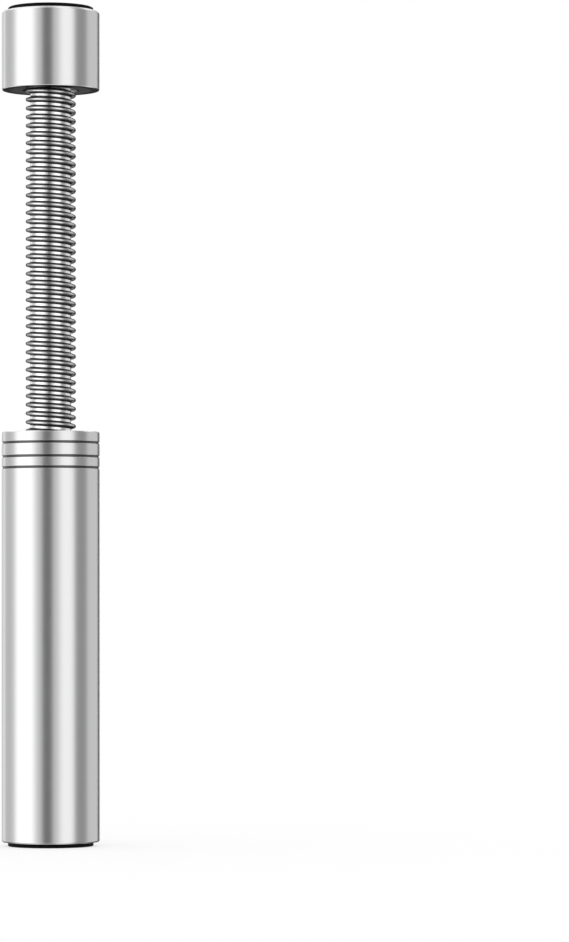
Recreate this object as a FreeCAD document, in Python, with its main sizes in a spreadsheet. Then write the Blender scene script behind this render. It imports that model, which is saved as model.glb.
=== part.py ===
import FreeCAD, Part

# Screw jack that props up the free end of a graphics card inside a computer case.
# A tall sleeve stands on the case floor on a thin rubber pad, held there by a magnet in its foot. A threaded
# rod screws out of the sleeve's neck and carries a short cap, whose own thin rubber pad touches the card.
# The frame's origin is the centre of the foot pad's underside and +Z is up, along the common axis of every
# piece. The jack is drawn fully extended. All sizes are in millimetres.
# The holes that take the rod are plain here, at the outer diameter of the thread. So is the rod where they
# hold it, and its bare stretch has plain rings in place of the thread.

import os

import Sketcher
from FreeCAD import Vector

OUTPUT_FOLDER = "parts"
SHEET_NAME = "Sizes"

# Each ring on the bare stretch of the rod takes the place of this many turns of thread.
TURNS_PER_RING = 2

# Every size that can be set by itself: its name, its value and what it measures.
DRIVING_SIZES = [
    ("outer_diameter", 14.0, "sleeve and cap, across the outside"),
    ("sleeve_length", 58.5, "sleeve, end to end"),
    ("exposed_screw", 49.0, "bare screw between sleeve and cap, fully extended"),
    ("cap_length", 11.3, "cap, end to end"),
    ("pad_diameter", 12.2, "rubber pads under the foot and on the cap"),
    ("pad_thickness", 0.6, "both rubber pads"),
    ("thread_diameter", 7.2, "screw thread, over its crests"),
    ("thread_depth", 0.68, "screw thread, crest to root"),
    ("thread_pitch", 1.25, "screw thread, crest to crest"),
    ("neck_turns", 8.0, "turns of thread in the sleeve's neck"),
    ("engaged_turns", 5.6, "turns of the screw left in the neck when fully extended"),
    ("cap_turns", 6.8, "turns of the screw held in the cap"),
    ("thread_clearance", 0.08, "screw to neck and screw to cap, on the radius"),
    ("relief_clearance", 0.7, "screw to the wide bore below the neck, on the radius"),
    ("mouth_chamfer", 0.4, "mouths of the two threaded holes"),
    ("magnet_diameter", 10.0, "disc magnet in the foot"),
    ("magnet_thickness", 3.0, "disc magnet in the foot"),
    ("magnet_chamfer", 0.3, "edges of the magnet"),
    ("magnet_clearance", 0.1, "magnet to its pocket, at the side and on top"),
    ("foot_chamfer", 0.2, "lower outer edge of the sleeve"),
    ("rim_chamfer", 0.12, "upper outer edge of the sleeve"),
    ("cap_foot_chamfer", 0.12, "lower outer edge of the cap"),
    ("cap_top_chamfer", 0.28, "upper outer edge of the cap"),
    ("first_groove", 1.57, "sleeve's top face to the middle of the first groove"),
    ("second_groove", 3.54, "sleeve's top face to the middle of the second groove"),
    ("third_groove", 5.13, "sleeve's top face to the middle of the third groove"),
    ("groove_width", 0.34, "each groove"),
    ("groove_depth", 0.11, "each groove, below the sleeve's outer surface"),
]


class Size:
    """A length as a number and as the sheet formula that gives it."""

    def __init__(self, value, formula):
        self.value = value
        self.formula = formula

    def _combined(self, other, value, sign):
        return Size(value, f"({self.formula} {sign} {as_size(other).formula})")

    def __add__(self, other):
        return self._combined(other, self.value + as_size(other).value, "+")

    def __sub__(self, other):
        return self._combined(other, self.value - as_size(other).value, "-")

    def __mul__(self, other):
        return self._combined(other, self.value * as_size(other).value, "*")

    def __truediv__(self, other):
        return self._combined(other, self.value / as_size(other).value, "/")


def as_size(number):
    return number if isinstance(number, Size) else Size(number, str(number))


class Sizes:
    """The driving sizes as attributes, and what several pieces share, worked out from them."""

    def __init__(self):
        for name, value, _ in DRIVING_SIZES:
            setattr(self, name, Size(value, f"{SHEET_NAME}.{name}"))
        self.outer_radius = self.outer_diameter / 2
        self.screw_radius = self.thread_diameter / 2
        self.threaded_hole_radius = self.screw_radius + self.thread_clearance
        self.neck_length = self.thread_pitch * self.neck_turns
        self.engaged_screw = self.thread_pitch * self.engaged_turns
        self.held_screw = self.thread_pitch * self.cap_turns
        self.sleeve_base = self.pad_thickness
        self.sleeve_top = self.sleeve_base + self.sleeve_length
        self.cap_base = self.sleeve_top + self.exposed_screw
        self.cap_top = self.cap_base + self.cap_length
        self.screw_base = self.sleeve_top - self.engaged_screw


def add_sheet(doc):
    sheet = doc.addObject("Spreadsheet::Sheet", SHEET_NAME)
    for row, (name, value, meaning) in enumerate(DRIVING_SIZES, start=1):
        sheet.set(f"A{row}", name)
        sheet.set(f"B{row}", str(value))
        sheet.set(f"C{row}", meaning)
        sheet.setAlias(f"B{row}", name)
    doc.recompute()


def add_body(doc, label, height):
    """An empty body whose own base stands at the given height on the common axis."""
    body = doc.addObject("PartDesign::Body", label)
    body.Label = label
    body.setExpression("Placement.Base.z", as_size(height).formula)
    return body


def half_section_plane(body):
    """The upright plane through the body's own axis."""
    return next(feature for feature in body.Origin.OriginFeatures if feature.Role == "XZ_Plane")


def add_half_section(body, name, points):
    """A closed outline of (distance from the axis, height), fully held by formulas at its corners."""
    sketch = body.newObject("Sketcher::SketchObject", name)
    sketch.AttachmentSupport = [(half_section_plane(body), "")]
    sketch.MapMode = "FlatFace"
    corners = [(as_size(across), as_size(up)) for across, up in points]
    places = [Vector(across.value, up.value, 0) for across, up in corners]
    for start, end in zip(places, places[1:] + places[:1]):
        sketch.addGeometry(Part.LineSegment(start, end), False)
    origin, across_axis, up_axis, start_point, end_point = -1, -1, -2, 1, 2
    for line, (across, up) in enumerate(corners):
        before = (line - 1) % len(corners)
        sketch.addConstraint(Sketcher.Constraint("Coincident", before, end_point, line, start_point))
        for kind, size, axis in (("DistanceX", across, up_axis), ("DistanceY", up, across_axis)):
            if size.value == 0:
                sketch.addConstraint(Sketcher.Constraint("PointOnObject", line, start_point, axis))
                continue
            held = Sketcher.Constraint(kind, origin, 1, line, start_point, size.value)
            index = sketch.addConstraint(held)
            sketch.setExpression(f"Constraints[{index}]", size.formula)
    return sketch


def turn(body, name, points):
    """Adds the solid that a half section sweeps about the body's axis."""
    return spin(body, name, points, "PartDesign::Revolution")


def bore(body, name, points):
    """Cuts away what a half section sweeps about the body's axis, and tests that something was cut."""
    before = body.Shape.Volume
    groove = spin(body, name, points, "PartDesign::Groove")
    if not body.Shape.Volume < before:
        raise RuntimeError(f"{name} cuts nothing")
    return groove


def spin(body, name, points, feature_type):
    sketch = add_half_section(body, name + "_section", points)
    feature = body.newObject(feature_type, name)
    feature.Profile = sketch
    feature.ReferenceAxis = (sketch, ["V_Axis"])
    feature.Angle = 360
    body.Document.recompute()
    return feature


def add_sleeve(doc, sizes):
    sleeve = add_body(doc, "sleeve", sizes.sleeve_base)
    turn(sleeve, "sleeve_outside", [
        (0, 0),
        (sizes.outer_radius - sizes.foot_chamfer, 0),
        (sizes.outer_radius, sizes.foot_chamfer),
        (sizes.outer_radius, sizes.sleeve_length - sizes.rim_chamfer),
        (sizes.outer_radius - sizes.rim_chamfer, sizes.sleeve_length),
        (0, sizes.sleeve_length),
    ])

    pocket_radius = sizes.magnet_diameter / 2 + sizes.magnet_clearance
    pocket_depth = sizes.magnet_thickness + sizes.magnet_clearance
    relief_radius = sizes.screw_radius + sizes.relief_clearance
    neck_base = sizes.sleeve_length - sizes.neck_length
    bore(sleeve, "sleeve_bore", [
        (0, 0),
        (pocket_radius, 0),
        (pocket_radius, pocket_depth),
        (relief_radius, pocket_depth),
        (relief_radius, neck_base),
        (sizes.threaded_hole_radius, neck_base),
        (sizes.threaded_hole_radius, sizes.sleeve_length - sizes.mouth_chamfer),
        (sizes.threaded_hole_radius + sizes.mouth_chamfer, sizes.sleeve_length),
        (0, sizes.sleeve_length),
    ])

    floor_radius = sizes.outer_radius - sizes.groove_depth
    half_width = sizes.groove_width / 2
    for name in ("first_groove", "second_groove", "third_groove"):
        middle = sizes.sleeve_length - getattr(sizes, name)
        bore(sleeve, name, [
            (floor_radius, middle - half_width),
            (sizes.outer_radius, middle - half_width),
            (sizes.outer_radius, middle + half_width),
            (floor_radius, middle + half_width),
        ])
    return sleeve


def add_spindle(doc, sizes):
    """The rod. The rings on its bare stretch and its end chamfers are as deep as the thread."""
    spindle = add_body(doc, "spindle", sizes.screw_base)
    length = sizes.engaged_screw + sizes.exposed_screw + sizes.held_screw
    root_radius = sizes.screw_radius - sizes.thread_depth
    corners = [
        (0, 0),
        (root_radius, 0),
        (sizes.screw_radius, sizes.thread_depth),
        (sizes.screw_radius, sizes.engaged_screw),
    ]
    rings = round(sizes.exposed_screw.value / sizes.thread_pitch.value / TURNS_PER_RING)
    spacing = sizes.exposed_screw / rings
    for ring in range(rings):
        corners += [
            (root_radius, sizes.engaged_screw + spacing * (ring + 0.5)),
            (sizes.screw_radius, sizes.engaged_screw + spacing * (ring + 1)),
        ]
    corners += [
        (sizes.screw_radius, length - sizes.thread_depth),
        (root_radius, length),
        (0, length),
    ]
    turn(spindle, "spindle_rod", corners)
    return spindle


def add_head_cap(doc, sizes):
    """The blind hole is as deep as the length of screw that it holds, so the rod's end seats on its floor."""
    cap = add_body(doc, "head_cap", sizes.cap_base)
    turn(cap, "cap_outside", [
        (0, 0),
        (sizes.outer_radius - sizes.cap_foot_chamfer, 0),
        (sizes.outer_radius, sizes.cap_foot_chamfer),
        (sizes.outer_radius, sizes.cap_length - sizes.cap_top_chamfer),
        (sizes.outer_radius - sizes.cap_top_chamfer, sizes.cap_length),
        (0, sizes.cap_length),
    ])
    bore(cap, "cap_hole", [
        (0, 0),
        (sizes.threaded_hole_radius + sizes.mouth_chamfer, 0),
        (sizes.threaded_hole_radius, sizes.mouth_chamfer),
        (sizes.threaded_hole_radius, sizes.held_screw),
        (0, sizes.held_screw),
    ])
    return cap


def add_base_magnet(doc, sizes):
    """The magnet lies on the foot pad, in the sleeve's pocket."""
    magnet = add_body(doc, "base_magnet", sizes.sleeve_base)
    radius = sizes.magnet_diameter / 2
    turn(magnet, "magnet_disc", [
        (0, 0),
        (radius - sizes.magnet_chamfer, 0),
        (radius, sizes.magnet_chamfer),
        (radius, sizes.magnet_thickness - sizes.magnet_chamfer),
        (radius - sizes.magnet_chamfer, sizes.magnet_thickness),
        (0, sizes.magnet_thickness),
    ])
    return magnet


def add_pad(doc, sizes, label, base):
    """A die-cut rubber disc whose underside stands at the given height."""
    pad = doc.addObject("Part::Cylinder", label)
    pad.Label = label
    pad.setExpression("Radius", (sizes.pad_diameter / 2).formula)
    pad.setExpression("Height", sizes.pad_thickness.formula)
    pad.setExpression("Placement.Base.z", as_size(base).formula)
    return pad


def check_document(doc):
    for thing in doc.Objects:
        if "Invalid" in thing.State or "Error" in thing.State:
            raise RuntimeError(f"{thing.Label} failed: {thing.State}")


def check_shape(piece):
    if piece.Shape.isNull() or not piece.Shape.isValid() or len(piece.Shape.Solids) != 1:
        raise RuntimeError(f"{piece.Label} is not one valid solid")


def main():
    doc = FreeCAD.newDocument("support_bracket")
    add_sheet(doc)
    sizes = Sizes()
    pieces = [
        add_pad(doc, sizes, "foot_pad", 0),
        add_base_magnet(doc, sizes),
        add_sleeve(doc, sizes),
        add_spindle(doc, sizes),
        add_head_cap(doc, sizes),
        add_pad(doc, sizes, "head_pad", sizes.cap_top),
    ]
    doc.recompute()
    check_document(doc)
    for piece in pieces:
        check_shape(piece)
    os.makedirs(OUTPUT_FOLDER, exist_ok=True)
    for piece in pieces:
        piece.Shape.exportStep(os.path.join(OUTPUT_FOLDER, piece.Label + ".step"))
        box = piece.Shape.BoundBox
        print(f"{piece.Label}: z {box.ZMin:.2f} to {box.ZMax:.2f}, {piece.Shape.Volume:.1f} mm3")


main()
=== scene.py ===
import math

import bmesh
import bpy
from mathutils import Matrix, Vector


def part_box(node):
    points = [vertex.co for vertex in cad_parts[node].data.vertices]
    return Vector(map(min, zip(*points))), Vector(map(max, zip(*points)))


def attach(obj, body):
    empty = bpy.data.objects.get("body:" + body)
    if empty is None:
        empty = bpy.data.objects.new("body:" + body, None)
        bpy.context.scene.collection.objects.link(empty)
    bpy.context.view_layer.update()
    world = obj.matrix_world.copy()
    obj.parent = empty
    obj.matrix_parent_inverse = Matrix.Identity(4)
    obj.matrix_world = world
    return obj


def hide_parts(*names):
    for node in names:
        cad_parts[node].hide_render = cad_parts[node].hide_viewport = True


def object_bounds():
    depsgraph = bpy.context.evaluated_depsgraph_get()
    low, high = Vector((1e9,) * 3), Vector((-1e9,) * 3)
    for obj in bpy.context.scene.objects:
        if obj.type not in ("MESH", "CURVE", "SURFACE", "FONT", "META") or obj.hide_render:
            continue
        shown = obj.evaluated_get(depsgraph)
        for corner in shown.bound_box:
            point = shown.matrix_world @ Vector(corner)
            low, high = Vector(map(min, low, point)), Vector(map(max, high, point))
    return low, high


# Looks of the screw jack that props up a graphics card: turned aluminium sleeve and cap, a bright
# threaded rod between them and a thin rubber pad at each end. Lengths are in metres, and each piece takes
# its place and outer size from the frame. What the frame doesn't give is named here.

MM = 0.001

# The photograph's frame, in pixels, and what was read in it. The roll is in radians.
PHOTO_WIDTH = 569
PHOTO_HEIGHT = 942
AXIS_COLUMN = 50.7
FOOT_ROW = 844.7
HEAD_ROW = 6.6
HORIZON_ROW = 594.0
FOCAL_PIXELS = 4410.0
CAMERA_ROLL = -0.0015

# The camera's own lengths: its sensor in millimetres, and where it begins to see in metres.
SENSOR_LENGTH = 36.0
CLIP_START = 0.01

# Fine forms of the turned pieces.
LATHE_STEPS = 192
ARC_STEPS = 5
EDGE_ROUNDING = 0.06 * MM
CAP_ROUNDING = 0.12 * MM
FOOT_CHAMFER = 0.20 * MM
RIM_CHAMFER = 0.12 * MM
CAP_FOOT_CHAMFER = 0.12 * MM
CAP_TOP_CHAMFER = 0.28 * MM
MOUTH_CHAMFER = 0.40 * MM
GROOVE_DROPS = (1.57 * MM, 3.54 * MM, 5.13 * MM)
GROOVE_WIDTH = 0.34 * MM
GROOVE_DEPTH = 0.11 * MM
GROOVE_ROUNDING = 0.045 * MM
THREAD_CLEARANCE = 0.08 * MM
NECK_LENGTH = 10.0 * MM
RELIEF_CLEARANCE = 0.70 * MM
MAGNET_CLEARANCE = 0.10 * MM
MAGNET_CHAMFER = 0.30 * MM
PAD_FACE_ROUNDING = 0.18 * MM
PAD_BACK_ROUNDING = 0.05 * MM

# The lead beside a rounding is at most one part in this many of the straight stretch that it lies on.
LEAD_PARTS = 3

# The screw thread: left-hand, with steep flanks, round crests and wide roots as the photograph shows
# them. Its start is in turns.
THREAD_PITCH = 1.25 * MM
THREAD_DEPTH = 0.68 * MM
THREAD_START = -0.24
LOWER_FLANK_ANGLE = math.radians(14)
UPPER_FLANK_ANGLE = math.radians(18)
ROOT_FLAT = 0.42 * MM
CREST_ROUNDING = 0.27 * MM
ROOT_ROUNDING = 0.10 * MM
THREAD_STEPS = 72
THREAD_ARC_STEPS = 3

# Points of a mesh closer than this are one point, and this close to a height they lie at it, in metres.
MERGE_DISTANCE = 1e-8
SAME_HEIGHT = 1e-7

# The studio that the metal mirrors, by bearing seen from the jack: 0 is towards the camera, positive to
# its right. Each card: bearing, half width, soft edge, lowest and highest angle, in degrees, and
# brightness. The last four are what the back and the sides mirror when they are seen from above. The gain
# brightens the whole studio.
STUDIO_GAIN = 7 / 6
STUDIO_BRIGHTNESS = 0.62
STUDIO_CARDS = {
    "left_flank": (-119, 8, 8, -25, 25, 0.54),
    "left_glint": (-143, 4, 5, -25, 25, 0.86),
    "left_softbox": (-65, 23, 14, -58, 58, 1.30),
    "gap_at_the_camera": (-8, 7.3, 10, -58, 58, 0.165),
    "right_softbox": (38, 12, 13, -58, 58, 1.05),
    "right_gap": (77, 12, 12, -58, 58, 0.30),
    "far_right_stand": (153, 5, 6, -25, 25, 0.05),
    "table_edge_behind": (180, 28, 10, -13, -6, 0.05),
    "gap_behind_left": (-150, 6, 8, -60, -27, 0.32),
    "gap_behind_right": (150, 6, 8, -60, -27, 0.32),
    "gap_far_left": (-100, 6, 8, -60, -27, 0.45),
    "gap_far_right": (100, 6, 8, -60, -27, 0.45),
}
CARD_END_SOFTNESS = 2.0

# Gaps between the lamps overhead, and the same below: bearing, angle up or down, half width, soft edge
# and brightness.
STUDIO_GAPS = {
    "gap_overhead": (-90, 86, 6, 8, 0.20),
    "gap_to_the_right": (127, 53, 7, 8, 0.25),
}

# The white ceiling, and the white table below: lowest and highest angle of its edge, where it is behind
# the jack and elsewhere. Behind starts and is full at these parts of a direction that point away from
# the camera.
GLOW_BEHIND = (22, 40)
GLOW_AROUND = (58, 70)
GLOW_BRIGHTNESS = 1.08
BEHIND_START = (-0.2, 0.0)

WHITE = (1, 1, 1, 1)
METAL_COLOR = (0.72, 0.72, 0.725, 1)
# The thread's roots are painted brighter than its crests and the plain metal: a painted highlight.
ROOT_HIGHLIGHT_COLOR = (0.98, 0.98, 0.985, 1)
CREST_COLOR = (0.76, 0.76, 0.765, 1)
# Painted shade in the sleeve's grooves and bore.
GROOVE_SHADE_COLOR = (0.10, 0.10, 0.10, 1)
# Painted shade on the cap's underside and in its hole.
UNDERSIDE_SHADE_COLOR = (0.40, 0.40, 0.40, 1)
# Painted shade on the thread's flanks.
FLANK_SHADE_COLOR = (0.15, 0.15, 0.15, 1)
NICKEL_COLOR = (0.55, 0.53, 0.50, 1)
RUBBER_COLORS = ((0.002, 0.002, 0.002, 1), (0.006, 0.006, 0.006, 1))
FLOOR_COLOR = (0.8, 0.8, 0.8, 1)

TURNED_ROUGHNESS = 0.20
THREAD_ROUGHNESS = 0.18
NICKEL_ROUGHNESS = 0.15
METAL_ROUGHNESS_SPREAD = 0.02
RUBBER_ROUGHNESS = (0.62, 0.78)
RUBBER_SPECULAR = 0.08

# Noises and bumps, by the names of their nodes' inputs, at places in millimetres. The fine rings and the
# soft clouds of the metal each give one share of its wear. Nearly all noise lies in the range.
RING_NOISE = (("Scale", 9.0), ("Detail", 6.0), ("Roughness", 0.65))
CLOUD_NOISE = (("Scale", 0.8), ("Detail", 4.0), ("Roughness", 0.6))
RUBBER_NOISE = (("Scale", 6.0), ("Detail", 5.0), ("Roughness", 0.7))
METAL_BUMP = (("Strength", 0.25), ("Distance", 0.0005 * MM))
RUBBER_BUMP = (("Strength", 0.5), ("Distance", 0.01 * MM))
WEAR_SHARE = 0.5
NOISE_RANGE = (0.3, 0.7)

# The painted shade in a groove is full and ends at these shares of the groove's depth, below the surface.
GROOVE_DARK = (0.9, 0.2)

# How far from the sleeve's end faces its painted shade begins and is full, in millimetres.
END_FACES_CLEAR = (0.05, 0.15)

# How far above the cap's underside its painted shade is full and ends, and how far in from the rim it
# starts to deepen and is full, in millimetres. Further in it is this share of the rim's.
UNDERSIDE_DARK = (0.02, 0.05)
RIM_DARK = (1.6, 0.8)
UNDERSIDE_SHARE = 0.80

# The soft edge, to both sides, of the painted shade in the cap's hole and on the sleeve's foot chamfer,
# in millimetres.
HOLE_BLUR = 0.05
CHAMFER_BLUR = 0.03

# How far below the thread's outside its crest colour begins and is full, in millimetres; further in are
# the roots, painted brighter as a painted highlight. How steep the thread's surface is, as the upright
# part of its normal, where the flanks' painted shade begins and is full.
CREST_BAND = (0.45, 0.1)
FLANK_SHADE = (0.20, 0.50)

# What the brightness of the thread's parts is multiplied by where they are seen edge on. Below 1 it
# paints shade along the edges of the crests and flanks.
ROOT_EDGE = 1.0
CREST_EDGE = 0.0
FLANK_EDGE = 0.65

# The same for the painted shade in the grooves and on the cap's underside, and for the painted shade
# seen edge on along the sleeve's foot chamfer.
GROOVE_EDGE = 0.85
UNDERSIDE_EDGE = 0.0
FOOT_EDGE = 0.25

# The floor: how far it reaches to each side, in metres, and how much of what the camera sees of it glows.
FLOOR_REACH = 4.0
FLOOR_GLOW = 0.6


def add_node(tree, kind, inputs=(), **settings):
    """A new node. Its inputs are pairs: a socket's name or number, and a value or a node's output."""
    node = tree.nodes.new(kind)
    for name, value in settings.items():
        setattr(node, name, value)
    for name, value in inputs:
        if isinstance(value, bpy.types.NodeSocket):
            tree.links.new(value, node.inputs[name])
        else:
            node.inputs[name].default_value = value
    return node


def calculate(tree, operation, *values):
    return add_node(tree, "ShaderNodeMath", enumerate(values), operation=operation).outputs[0]


def ease(tree, value, start, end, low=0.0, high=1.0):
    """Goes smoothly from low to high as value goes from start to end."""
    names = ("Value", "From Min", "From Max", "To Min", "To Max")
    inputs = zip(names, (value, start, end, low, high))
    return add_node(tree, "ShaderNodeMapRange", inputs, interpolation_type="SMOOTHSTEP").outputs["Result"]


def mix_floats(tree, factor, a, b):
    inputs = (("Factor", factor), ("A", a), ("B", b))
    return add_node(tree, "ShaderNodeMix", inputs, data_type="FLOAT").outputs["Result"]


def mix_colors(tree, factor, a, b):
    inputs = (("Factor", factor), ("A", a), ("B", b))
    return add_node(tree, "ShaderNodeMix", inputs, data_type="RGBA").outputs["Result"]


def mix_shaders(tree, factor, a, b):
    return add_node(tree, "ShaderNodeMixShader", enumerate((factor, a, b))).outputs[0]


def background(tree, strength):
    inputs = (("Strength", strength), ("Color", WHITE))
    return add_node(tree, "ShaderNodeBackground", inputs).outputs[0]


def near_direction(tree, direction, bearing, steepness, half_width, softness):
    """From 0 to 1, how far a direction lies within some degrees of a bearing and an angle up."""
    level = math.cos(math.radians(steepness))
    middle = (
        math.sin(math.radians(bearing)) * level,
        -math.cos(math.radians(bearing)) * level,
        math.sin(math.radians(steepness)),
    )
    inputs = ((0, direction), (1, middle))
    dot = add_node(tree, "ShaderNodeVectorMath", inputs, operation="DOT_PRODUCT").outputs["Value"]
    outside = math.cos(math.radians(half_width + softness))
    inside = math.cos(math.radians(max(half_width - softness, 0)))
    return ease(tree, dot, outside, inside)


def studio_card(tree, level_direction, height, card):
    """How far a card covers a direction, from 0 to 1."""
    bearing, half_width, softness, lowest, highest, _ = card
    across = near_direction(tree, level_direction, bearing, 0, half_width, softness)
    low, low_end, high_end, high = (
        math.sin(math.radians(angle))
        for angle in (lowest - CARD_END_SOFTNESS, lowest, highest, highest + CARD_END_SOFTNESS)
    )
    above = ease(tree, height, low, low_end)
    below = ease(tree, height, high_end, high, 1.0, 0.0)
    return calculate(tree, "MULTIPLY", across, calculate(tree, "MULTIPLY", above, below))


def add_world():
    """White for the camera and for plain light, and the studio for what the metal mirrors."""
    world = bpy.data.worlds.new("studio")
    bpy.context.scene.world = world
    world.use_nodes = True
    tree = world.node_tree
    tree.nodes.clear()
    direction = add_node(tree, "ShaderNodeTexCoord").outputs["Generated"]
    parts = add_node(tree, "ShaderNodeSeparateXYZ", ((0, direction),)).outputs
    flat = add_node(tree, "ShaderNodeVectorMath", ((0, direction), (1, (1, 1, 0))), operation="MULTIPLY")
    level = add_node(tree, "ShaderNodeVectorMath", ((0, flat.outputs[0]),), operation="NORMALIZE")

    steepness = calculate(tree, "ABSOLUTE", parts["Z"])
    behind, around = (
        ease(tree, steepness, *(math.sin(math.radians(angle)) for angle in angles))
        for angles in (GLOW_BEHIND, GLOW_AROUND)
    )
    behind = calculate(tree, "MULTIPLY", behind, ease(tree, parts["Y"], *BEHIND_START))
    inputs = (("X", parts["X"]), ("Y", parts["Y"]), ("Z", steepness))
    folded = add_node(tree, "ShaderNodeCombineXYZ", inputs).outputs[0]
    glow = GLOW_BRIGHTNESS
    for *place, gap_brightness in STUDIO_GAPS.values():
        glow = mix_floats(tree, near_direction(tree, folded, *place), glow, gap_brightness)
    brightness = mix_floats(tree, calculate(tree, "MAXIMUM", behind, around), STUDIO_BRIGHTNESS, glow)
    for card in STUDIO_CARDS.values():
        covered = studio_card(tree, level.outputs[0], parts["Z"], card)
        brightness = mix_floats(tree, covered, brightness, card[-1])

    mirrored = background(tree, calculate(tree, "MULTIPLY", brightness, STUDIO_GAIN))
    plain = background(tree, 1.0)
    glossy = add_node(tree, "ShaderNodeLightPath").outputs["Is Glossy Ray"]
    add_node(tree, "ShaderNodeOutputWorld", (("Surface", mix_shaders(tree, glossy, plain, mirrored)),))


def add_camera():
    """The photograph's camera: level with the sleeve, turned so that the jack is at the left."""
    pixels_per_metre = (FOOT_ROW - HEAD_ROW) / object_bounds()[1].z
    data = bpy.data.cameras.new("photo_camera")
    data.sensor_width = SENSOR_LENGTH
    data.lens = FOCAL_PIXELS / PHOTO_HEIGHT * SENSOR_LENGTH
    data.clip_start = CLIP_START
    camera = bpy.data.objects.new("photo_camera", data)
    bpy.context.scene.collection.objects.link(camera)
    height = (FOOT_ROW - HORIZON_ROW) / pixels_per_metre
    camera.location = (0, -FOCAL_PIXELS / pixels_per_metre, height)
    up = math.atan((HORIZON_ROW - PHOTO_HEIGHT / 2) / FOCAL_PIXELS)
    right = math.atan((PHOTO_WIDTH / 2 - AXIS_COLUMN) / FOCAL_PIXELS)
    camera.rotation_euler = (math.pi / 2 + up, 0, -right)
    camera.rotation_euler.rotate_axis("Z", CAMERA_ROLL)
    bpy.context.scene.camera = camera


def new_material(name):
    """A material with an empty Principled shader, its node tree and that shader."""
    material = bpy.data.materials.new(name)
    material.use_nodes = True
    return material, material.node_tree, material.node_tree.nodes["Principled BSDF"]


def axis_coordinates(tree):
    """The place, its distance from the piece's axis and its height, in millimetres."""
    place = add_node(tree, "ShaderNodeTexCoord").outputs["Object"]
    inputs = ((0, place), ("Scale", 1 / MM))
    scaled = add_node(tree, "ShaderNodeVectorMath", inputs, operation="SCALE").outputs[0]
    parts = add_node(tree, "ShaderNodeSeparateXYZ", ((0, scaled),)).outputs
    squares = [calculate(tree, "MULTIPLY", parts[axis], parts[axis]) for axis in ("X", "Y")]
    radius = calculate(tree, "SQRT", calculate(tree, "ADD", *squares))
    return scaled, radius, parts["Z"]


def groove_shade(tree, radius, height):
    """Painted shade in the bore and the grooves, not on the end faces, and on the foot chamfer edge on."""
    low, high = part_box("sleeve")
    floor, surface = (high.x / MM - share * GROOVE_DEPTH / MM for share in GROOVE_DARK)
    deep = ease(tree, radius, floor, surface, 1.0, 0.0)
    near, far = END_FACES_CLEAR
    below_top = ease(tree, height, high.z / MM - far, high.z / MM - near, 1.0, 0.0)
    above_foot = ease(tree, height, low.z / MM + near, low.z / MM + far)
    dark = calculate(tree, "MULTIPLY", deep, calculate(tree, "MULTIPLY", below_top, above_foot))
    # The foot chamfer is painted darker where seen edge on: a painted shade.
    chamfer = (low.z + FOOT_CHAMFER) / MM
    foot = ease(tree, height, chamfer - CHAMFER_BLUR, chamfer + CHAMFER_BLUR, FOOT_EDGE, 1.0)
    return dark, calculate(tree, "MINIMUM", foot, mix_floats(tree, dark, 1.0, GROOVE_EDGE))


def underside_shade(tree, radius, height):
    """Painted shade on the cap's underside, darkest at its rim, and in its hole."""
    low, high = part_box("head_cap")
    hole = (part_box("spindle")[1].x + THREAD_CLEARANCE + MOUTH_CHAMFER) / MM
    near_base = ease(tree, height, *(low.z / MM + rise for rise in UNDERSIDE_DARK), 1.0, 0.0)
    near_rim = ease(tree, radius, *(high.x / MM - inset for inset in RIM_DARK), UNDERSIDE_SHARE, 1.0)
    in_hole = ease(tree, radius, hole - HOLE_BLUR, hole + HOLE_BLUR, 1.0, 0.0)
    dark = calculate(tree, "MAXIMUM", in_hole, calculate(tree, "MULTIPLY", near_base, near_rim))
    return dark, mix_floats(tree, dark, 1.0, UNDERSIDE_EDGE)


def noise(tree, place, settings):
    return add_node(tree, "ShaderNodeTexNoise", (("Vector", place), *settings)).outputs["Fac"]


def add_bump(tree, shader, height, settings):
    bump = add_node(tree, "ShaderNodeBump", (("Height", height), *settings))
    tree.links.new(bump.outputs[0], shader.inputs["Normal"])


def metal_grain(tree, shader, coordinates, roughness):
    """Fine rings round the axis, in the roughness and as bump, and a soft grain in the roughness."""
    place, radius, height = coordinates
    rings_at = add_node(tree, "ShaderNodeCombineXYZ", (("X", radius), ("Z", height))).outputs[0]
    rings = noise(tree, rings_at, RING_NOISE)
    clouds = noise(tree, place, CLOUD_NOISE)
    shares = (calculate(tree, "MULTIPLY", part, WEAR_SHARE) for part in (rings, clouds))
    smoothest, roughest = roughness - METAL_ROUGHNESS_SPREAD, roughness + METAL_ROUGHNESS_SPREAD
    worn = ease(tree, calculate(tree, "ADD", *shares), *NOISE_RANGE, smoothest, roughest)
    tree.links.new(worn, shader.inputs["Roughness"])
    add_bump(tree, shader, rings, METAL_BUMP)


def aluminium(name, roughness, color=METAL_COLOR, shade=None, painted_shade_color=None):
    """Turned metal. Shade gives its painted shade, and what its brightness seen edge on is multiplied by.
    """
    material, tree, shader = new_material(name)
    coordinates = axis_coordinates(tree)
    metal_grain(tree, shader, coordinates, roughness)
    shader.inputs["Metallic"].default_value = 1.0
    if shade:
        dark, edge = shade(tree, *coordinates[1:])
        tree.links.new(mix_colors(tree, dark, color, painted_shade_color), shader.inputs["Base Color"])
        tree.links.new(edge, shader.inputs["Specular Tint"])
    else:
        shader.inputs["Base Color"].default_value = color
    return material


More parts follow.
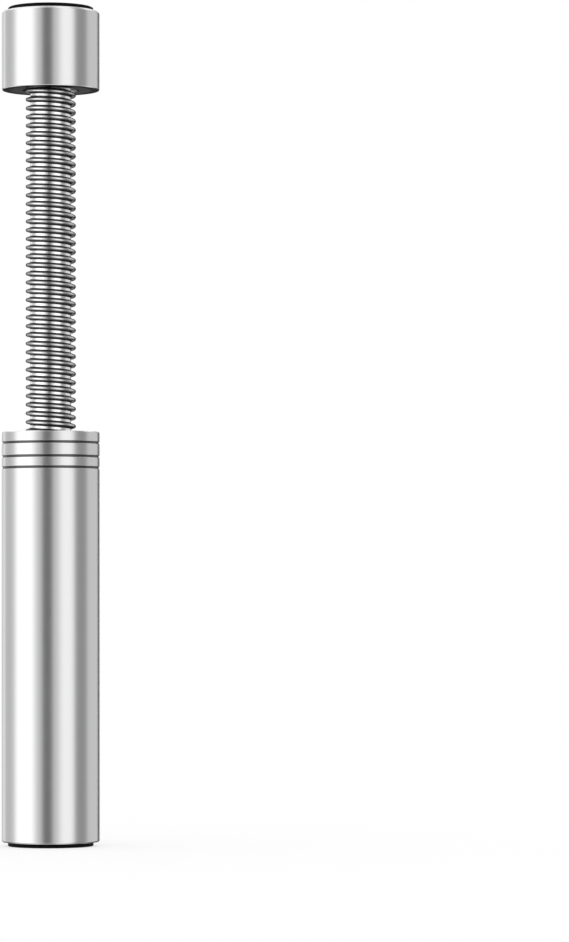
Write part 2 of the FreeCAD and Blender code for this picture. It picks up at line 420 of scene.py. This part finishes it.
def threaded_aluminium(name, roughness):
    """The thread: roots painted bright as highlight, darker crests, and painted shade on the flanks."""
    material, tree, shader = new_material(name)
    coordinates = axis_coordinates(tree)
    metal_grain(tree, shader, coordinates, roughness)
    shader.inputs["Metallic"].default_value = 1.0
    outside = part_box("spindle")[1].x / MM
    crest = ease(tree, coordinates[1], *(outside - depth for depth in CREST_BAND))
    normal = add_node(tree, "ShaderNodeTexCoord").outputs["Normal"]
    upright = add_node(tree, "ShaderNodeSeparateXYZ", ((0, normal),)).outputs["Z"]
    flank = ease(tree, calculate(tree, "ABSOLUTE", upright), *FLANK_SHADE)
    color = mix_colors(tree, flank, mix_colors(tree, crest, ROOT_HIGHLIGHT_COLOR, CREST_COLOR), FLANK_SHADE_COLOR)
    edge = mix_floats(tree, flank, mix_floats(tree, crest, ROOT_EDGE, CREST_EDGE), FLANK_EDGE)
    tree.links.new(color, shader.inputs["Base Color"])
    tree.links.new(edge, shader.inputs["Specular Tint"])
    return material


def rubber(name):
    material, tree, shader = new_material(name)
    place, _, _ = axis_coordinates(tree)
    grain = noise(tree, place, RUBBER_NOISE)
    tree.links.new(mix_colors(tree, grain, *RUBBER_COLORS), shader.inputs["Base Color"])
    tree.links.new(ease(tree, grain, *NOISE_RANGE, *RUBBER_ROUGHNESS), shader.inputs["Roughness"])
    add_bump(tree, shader, grain, RUBBER_BUMP)
    shader.inputs["Specular IOR Level"].default_value = RUBBER_SPECULAR
    return material


def rounded(corners, closed, steps=ARC_STEPS, leads=True):
    """An outline of (radius, height) points from corners of (radius, height, rounding).

    Each rounding is an arc. The leads are short straight stretches on both sides of it, which keep the
    long faces flat in shading.
    """
    places = [Vector(corner[:2]) for corner in corners]
    count = len(places)
    cuts = []
    for index, (_, _, rounding) in enumerate(corners):
        ends = not closed and index in (0, count - 1)
        if ends or not rounding:
            cuts.append(0.0)
            continue
        before = places[index] - places[index - 1]
        after = places[(index + 1) % count] - places[index]
        cuts.append(rounding * math.tan(before.angle(after) / 2))

    points = []
    for index, (_, _, rounding) in enumerate(corners):
        place, cut = places[index], cuts[index]
        if not cut:
            points.append(place)
            continue
        before = place - places[index - 1]
        after = places[(index + 1) % count] - place
        free_before = before.length - cut - cuts[index - 1]
        free_after = after.length - cut - cuts[(index + 1) % count]
        along, onward = before.normalized(), after.normalized()
        start = place - along * cut
        turn = along.angle_signed(onward)
        centre = start + Matrix.Rotation(-math.copysign(math.pi / 2, turn), 2) @ along * rounding
        if leads:
            points.append(start - along * min(rounding, free_before / LEAD_PARTS))
        for step in range(steps + 1):
            points.append(centre + Matrix.Rotation(-turn * step / steps, 2) @ (start - centre))
        if leads:
            points.append(place + onward * (cut + min(rounding, free_after / LEAD_PARTS)))
    return points


def link_mesh(name, vertices, faces, material):
    mesh = bpy.data.meshes.new(name)
    mesh.from_pydata(vertices, [], faces)
    piece = bpy.data.objects.new(name, mesh)
    bpy.context.scene.collection.objects.link(piece)
    mesh.materials.append(material)
    return piece


def finish_mesh(piece):
    """Merges what coincides, turns every face outwards and shades the piece smoothly."""
    work = bmesh.new()
    work.from_mesh(piece.data)
    bmesh.ops.remove_doubles(work, verts=work.verts, dist=MERGE_DISTANCE)
    bmesh.ops.recalc_face_normals(work, faces=work.faces)
    for face in work.faces:
        face.smooth = True
    work.to_mesh(piece.data)
    work.free()


def lathe(name, outline, closed, material):
    """Turns an outline about Z: a closed one makes a ring, and an open one ends on the axis."""
    circle = [math.tau * step / LATHE_STEPS for step in range(LATHE_STEPS)]
    vertices = []
    rings = []
    for radius, height in outline:
        first = len(vertices)
        if radius == 0:
            vertices.append((0, 0, height))
            rings.append([first] * LATHE_STEPS)
            continue
        vertices.extend((radius * math.cos(angle), radius * math.sin(angle), height) for angle in circle)
        rings.append(range(first, first + LATHE_STEPS))
    pairs = list(zip(rings, rings[1:]))
    if closed:
        pairs.append((rings[-1], rings[0]))
    faces = []
    for lower, upper in pairs:
        for step in range(LATHE_STEPS):
            onward = (step + 1) % LATHE_STEPS
            corners = (lower[step], lower[onward], upper[onward], upper[step])
            faces.append(tuple(dict.fromkeys(corners)))
    piece = link_mesh(name, vertices, faces, material)
    finish_mesh(piece)
    return piece


def dress(piece, node, body):
    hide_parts(node)
    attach(piece, body)


def add_sleeve(material):
    low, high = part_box("sleeve")
    screw_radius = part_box("spindle")[1].x
    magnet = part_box("base_magnet")[1]
    outer = high.x
    hole = screw_radius + THREAD_CLEARANCE
    relief = screw_radius + RELIEF_CLEARANCE
    pocket = magnet.x + MAGNET_CLEARANCE
    pocket_top = magnet.z + MAGNET_CLEARANCE
    neck_base = high.z - NECK_LENGTH
    corners = [
        (pocket, low.z, EDGE_ROUNDING),
        (outer - FOOT_CHAMFER, low.z, EDGE_ROUNDING),
        (outer, low.z + FOOT_CHAMFER, EDGE_ROUNDING),
    ]
    for drop in sorted(GROOVE_DROPS, reverse=True):
        lower, upper = high.z - drop - GROOVE_WIDTH / 2, high.z - drop + GROOVE_WIDTH / 2
        corners += [
            (outer, lower, GROOVE_ROUNDING),
            (outer - GROOVE_DEPTH, lower, GROOVE_ROUNDING),
            (outer - GROOVE_DEPTH, upper, GROOVE_ROUNDING),
            (outer, upper, GROOVE_ROUNDING),
        ]
    corners += [
        (outer, high.z - RIM_CHAMFER, EDGE_ROUNDING),
        (outer - RIM_CHAMFER, high.z, EDGE_ROUNDING),
        (hole + MOUTH_CHAMFER, high.z, EDGE_ROUNDING),
        (hole, high.z - MOUTH_CHAMFER, EDGE_ROUNDING),
        (hole, neck_base, EDGE_ROUNDING),
        (relief, neck_base, EDGE_ROUNDING),
        (relief, pocket_top, EDGE_ROUNDING),
        (pocket, pocket_top, EDGE_ROUNDING),
    ]
    sleeve = lathe("sleeve_turned", rounded(corners, closed=True), True, material)
    dress(sleeve, "sleeve", "base")


def add_cap(material):
    low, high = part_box("head_cap")
    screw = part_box("spindle")[1]
    outer = high.x
    hole = screw.x + THREAD_CLEARANCE
    corners = [
        (0, screw.z, 0),
        (hole, screw.z, EDGE_ROUNDING),
        (hole, low.z + MOUTH_CHAMFER, EDGE_ROUNDING),
        (hole + MOUTH_CHAMFER, low.z, EDGE_ROUNDING),
        (outer - CAP_FOOT_CHAMFER, low.z, EDGE_ROUNDING),
        (outer, low.z + CAP_FOOT_CHAMFER, CAP_ROUNDING),
        (outer, high.z - CAP_TOP_CHAMFER, CAP_ROUNDING),
        (outer - CAP_TOP_CHAMFER, high.z, CAP_ROUNDING),
        (0, high.z, 0),
    ]
    cap = lathe("head_cap_turned", rounded(corners, closed=False), False, material)
    dress(cap, "head_cap", "screw")


def add_disc(name, node, body, roundings, chamfer, material):
    """A flat disc with its lower and upper edges rounded, chamfered first where a chamfer is given."""
    low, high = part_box(node)
    radius = high.x
    corners = [(0, low.z, 0)]
    for face, inward, rounding in ((low.z, 1, roundings[0]), (high.z, -1, roundings[1])):
        edge = [(radius - chamfer, face, rounding), (radius, face + inward * chamfer, rounding)]
        corners += edge[::inward] if chamfer else edge[:1]
    corners.append((0, high.z, 0))
    disc = lathe(name, rounded(corners, closed=False), False, material)
    dress(disc, node, body)


def thread_outline(root, crest):
    """One pitch of the thread, from the middle of one root to the middle of the next."""
    lower, upper = (THREAD_DEPTH * math.tan(angle) for angle in (LOWER_FLANK_ANGLE, UPPER_FLANK_ANGLE))
    half_root = ROOT_FLAT / 2
    corners = [
        (root, 0, 0),
        (root, half_root, ROOT_ROUNDING),
        (crest, half_root + lower, CREST_ROUNDING),
        (crest, THREAD_PITCH - half_root - upper, CREST_ROUNDING),
        (root, THREAD_PITCH - half_root, ROOT_ROUNDING),
        (root, THREAD_PITCH, 0),
    ]
    return rounded(corners, closed=False, steps=THREAD_ARC_STEPS, leads=False)[:-1]


def add_spindle(material):
    """A left-hand thread as one helical sheet, cut off flat, chamfered and closed at both ends."""
    low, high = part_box("spindle")
    crest = high.x
    root = crest - THREAD_DEPTH
    outline = thread_outline(root, crest)
    turns = math.ceil((high.z - low.z) / THREAD_PITCH) + 2
    rows = [
        (radius, low.z + (turn - 1 + THREAD_START) * THREAD_PITCH + rise)
        for turn in range(turns)
        for radius, rise in outline
    ]
    vertices = []
    for step in range(THREAD_STEPS):
        angle = math.tau * step / THREAD_STEPS
        drop = THREAD_PITCH * step / THREAD_STEPS
        for radius, row_height in rows:
            height = min(max(row_height - drop, low.z), high.z)
            chamfered = root + min(height - low.z, high.z - height)
            reach = min(radius, chamfered)
            vertices.append((reach * math.cos(angle), reach * math.sin(angle), height))
    faces = []
    for step in range(THREAD_STEPS):
        here = step * len(rows)
        onward, shift = here + len(rows), 0
        if step == THREAD_STEPS - 1:
            onward, shift = 0, len(outline)
        for row in range(shift, len(rows) - 1):
            beside = onward + row - shift
            faces.append((here + row, beside, beside + 1, here + row + 1))
    spindle = link_mesh("spindle_threaded", vertices, faces, material)
    finish_mesh(spindle)
    close_ends(spindle, low.z, high.z)
    dress(spindle, "spindle", "screw")


def close_ends(piece, *heights):
    """Closes the open rim at each height with a fan of faces to the axis."""
    work = bmesh.new()
    work.from_mesh(piece.data)
    for height in heights:
        pole = work.verts.new((0, 0, height))
        rim = [
            edge for edge in work.edges
            if edge.is_boundary and all(abs(vertex.co.z - height) < SAME_HEIGHT for vertex in edge.verts)
        ]
        for edge in rim:
            face = work.faces.new((*edge.verts, pole))
            face.smooth = False
    bmesh.ops.recalc_face_normals(work, faces=work.faces)
    work.to_mesh(piece.data)
    work.free()


def add_floor():
    """A pale floor that the camera sees white, with the jack's soft shadow. The metal doesn't mirror it."""
    material, tree, shader = new_material("pale_floor")
    shader.inputs["Base Color"].default_value = FLOOR_COLOR
    white = add_node(tree, "ShaderNodeBsdfDiffuse", (("Color", WHITE),)).outputs[0]
    glow = add_node(tree, "ShaderNodeEmission", (("Color", WHITE), ("Strength", 1.0))).outputs[0]
    seen = mix_shaders(tree, FLOOR_GLOW, white, glow)
    by_camera = add_node(tree, "ShaderNodeLightPath").outputs["Is Camera Ray"]
    both = mix_shaders(tree, by_camera, shader.outputs[0], seen)
    tree.links.new(both, tree.nodes["Material Output"].inputs["Surface"])
    signs = ((-1, -1), (1, -1), (1, 1), (-1, 1))
    corners = [(FLOOR_REACH * x, FLOOR_REACH * y, 0) for x, y in signs]
    floor = link_mesh("floor", corners, [(0, 1, 2, 3)], material)
    floor.visible_glossy = False


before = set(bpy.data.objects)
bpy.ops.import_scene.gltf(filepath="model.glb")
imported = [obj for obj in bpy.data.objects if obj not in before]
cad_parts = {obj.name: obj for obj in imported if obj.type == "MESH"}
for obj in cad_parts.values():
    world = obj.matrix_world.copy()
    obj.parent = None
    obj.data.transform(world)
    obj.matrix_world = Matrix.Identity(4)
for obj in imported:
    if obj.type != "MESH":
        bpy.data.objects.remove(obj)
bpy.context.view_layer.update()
bpy.context.scene.view_settings.view_transform = "Standard"
add_camera()
add_world()
add_floor()

grooved = aluminium("grooved_aluminium", TURNED_ROUGHNESS, shade=groove_shade, painted_shade_color=GROOVE_SHADE_COLOR)
satin = aluminium("satin_aluminium", TURNED_ROUGHNESS, shade=underside_shade, painted_shade_color=UNDERSIDE_SHADE_COLOR)
threaded = threaded_aluminium("threaded_aluminium", THREAD_ROUGHNESS)
nickel = aluminium("bright_nickel", NICKEL_ROUGHNESS, color=NICKEL_COLOR)
black = rubber("black_rubber")
pad_underneath = (PAD_FACE_ROUNDING, PAD_BACK_ROUNDING)
pad_on_top = (PAD_BACK_ROUNDING, PAD_FACE_ROUNDING)
magnet_edges = (EDGE_ROUNDING, EDGE_ROUNDING)
add_sleeve(grooved)
add_cap(satin)
add_spindle(threaded)
add_disc("foot_pad_rubber", "foot_pad", "base", pad_underneath, 0, black)
add_disc("head_pad_rubber", "head_pad", "lift", pad_on_top, 0, black)
add_disc(
    "base_magnet_disc", "base_magnet", "base", magnet_edges, MAGNET_CHAMFER, nickel)
